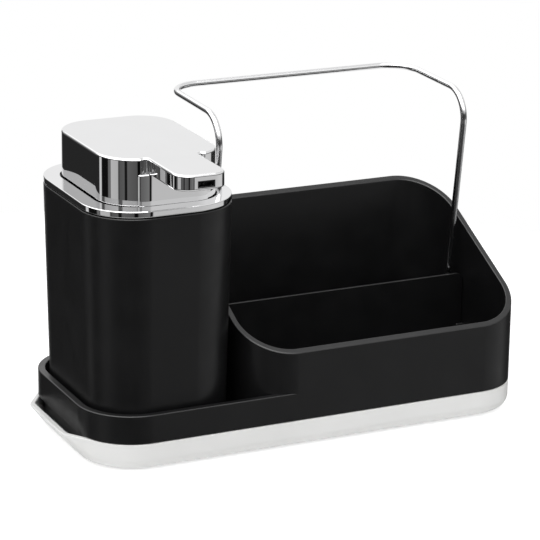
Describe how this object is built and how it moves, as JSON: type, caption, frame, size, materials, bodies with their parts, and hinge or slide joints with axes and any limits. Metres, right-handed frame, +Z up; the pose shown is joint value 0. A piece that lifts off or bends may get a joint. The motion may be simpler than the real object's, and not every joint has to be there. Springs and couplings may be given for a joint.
{
  "type": "soap pump caddy",
  "caption": "Worktop caddy: a press-pump soap bottle beside a divided bin on a drip tray, with a bent wire towel rail over the bin.",
  "frame": {"origin": "on the worktop, under the middle of the whole outline", "axes": "+X along the caddy towards the bin, +Y towards the back, +Z up; the spout points to -Y"},
  "size_m": [0.2372, 0.1461, 0.1544],
  "materials": {
    "white_plastic": "satin white moulded plastic",
    "black_plastic": "matte black soft-touch plastic",
    "divider_plastic": "matte black moulded sheet",
    "chrome": "bright polished chrome",
    "wire": "bright chromed wire",
    "inner_black": "satin black moulded plastic",
    "milky_plastic": "natural translucent polypropylene",
    "dark_rubber": "matte dark rubber",
    "grey_rubber": "soft grey silicone",
    "steel": "stainless steel"
  },
  "bodies": {
    "tray": {"drip_tray": "white_plastic", "foot_front_left": "grey_rubber", "foot_front_right": "grey_rubber", "foot_back_left": "grey_rubber", "foot_back_right": "grey_rubber"},
    "holder": {"holder": "black_plastic"},
    "divider": {"divider": "divider_plastic"},
    "rail": {"towel_rail": "wire", "rail_sleeve_left": "dark_rubber", "rail_sleeve_right": "dark_rubber"},
    "bottle": {"bottle": "black_plastic", "bottle_pad": "dark_rubber"},
    "pump": {"collar_plate": "chrome", "pump_well": "inner_black", "well_seal": "grey_rubber", "pump_cylinder": "milky_plastic", "cylinder_gasket": "dark_rubber", "cylinder_cap": "inner_black", "inlet_ball": "steel", "dip_tube": "milky_plastic", "return_spring": "steel"},
    "head": {"head_shell": "chrome", "head_core": "inner_black", "nozzle_insert": "inner_black", "pump_stem": "milky_plastic", "piston": "milky_plastic", "outlet_ball": "steel"}
  },
  "joints": [
    {"name": "holder_lift", "type": "slide", "parent": "tray", "child": "holder", "axis": [0, 0, 1], "range_m": [0, 0.03]},
    {"name": "divider_lift", "type": "slide", "parent": "holder", "child": "divider", "axis": [0, 0, 1], "range_m": [0, 0.024]},
    {"name": "rail_lift", "type": "slide", "parent": "holder", "child": "rail", "axis": [0, -0.1288, 0.9917], "range_m": [0, 0.03]},
    {"name": "bottle_lift", "type": "slide", "parent": "holder", "child": "bottle", "axis": [0, 0, 1], "range_m": [0, 0.1]},
    {"name": "pump_lift", "type": "slide", "parent": "bottle", "child": "pump", "axis": [0, 0, 1], "range_m": [0, 0.115]},
    {"name": "head_press", "type": "slide", "parent": "pump", "child": "head", "axis": [0, 0, -1], "range_m": [0, 0.012], "stiffness_N_per_m": 600, "springref_m": -0.01, "deforming": ["return_spring"]}
  ]
}
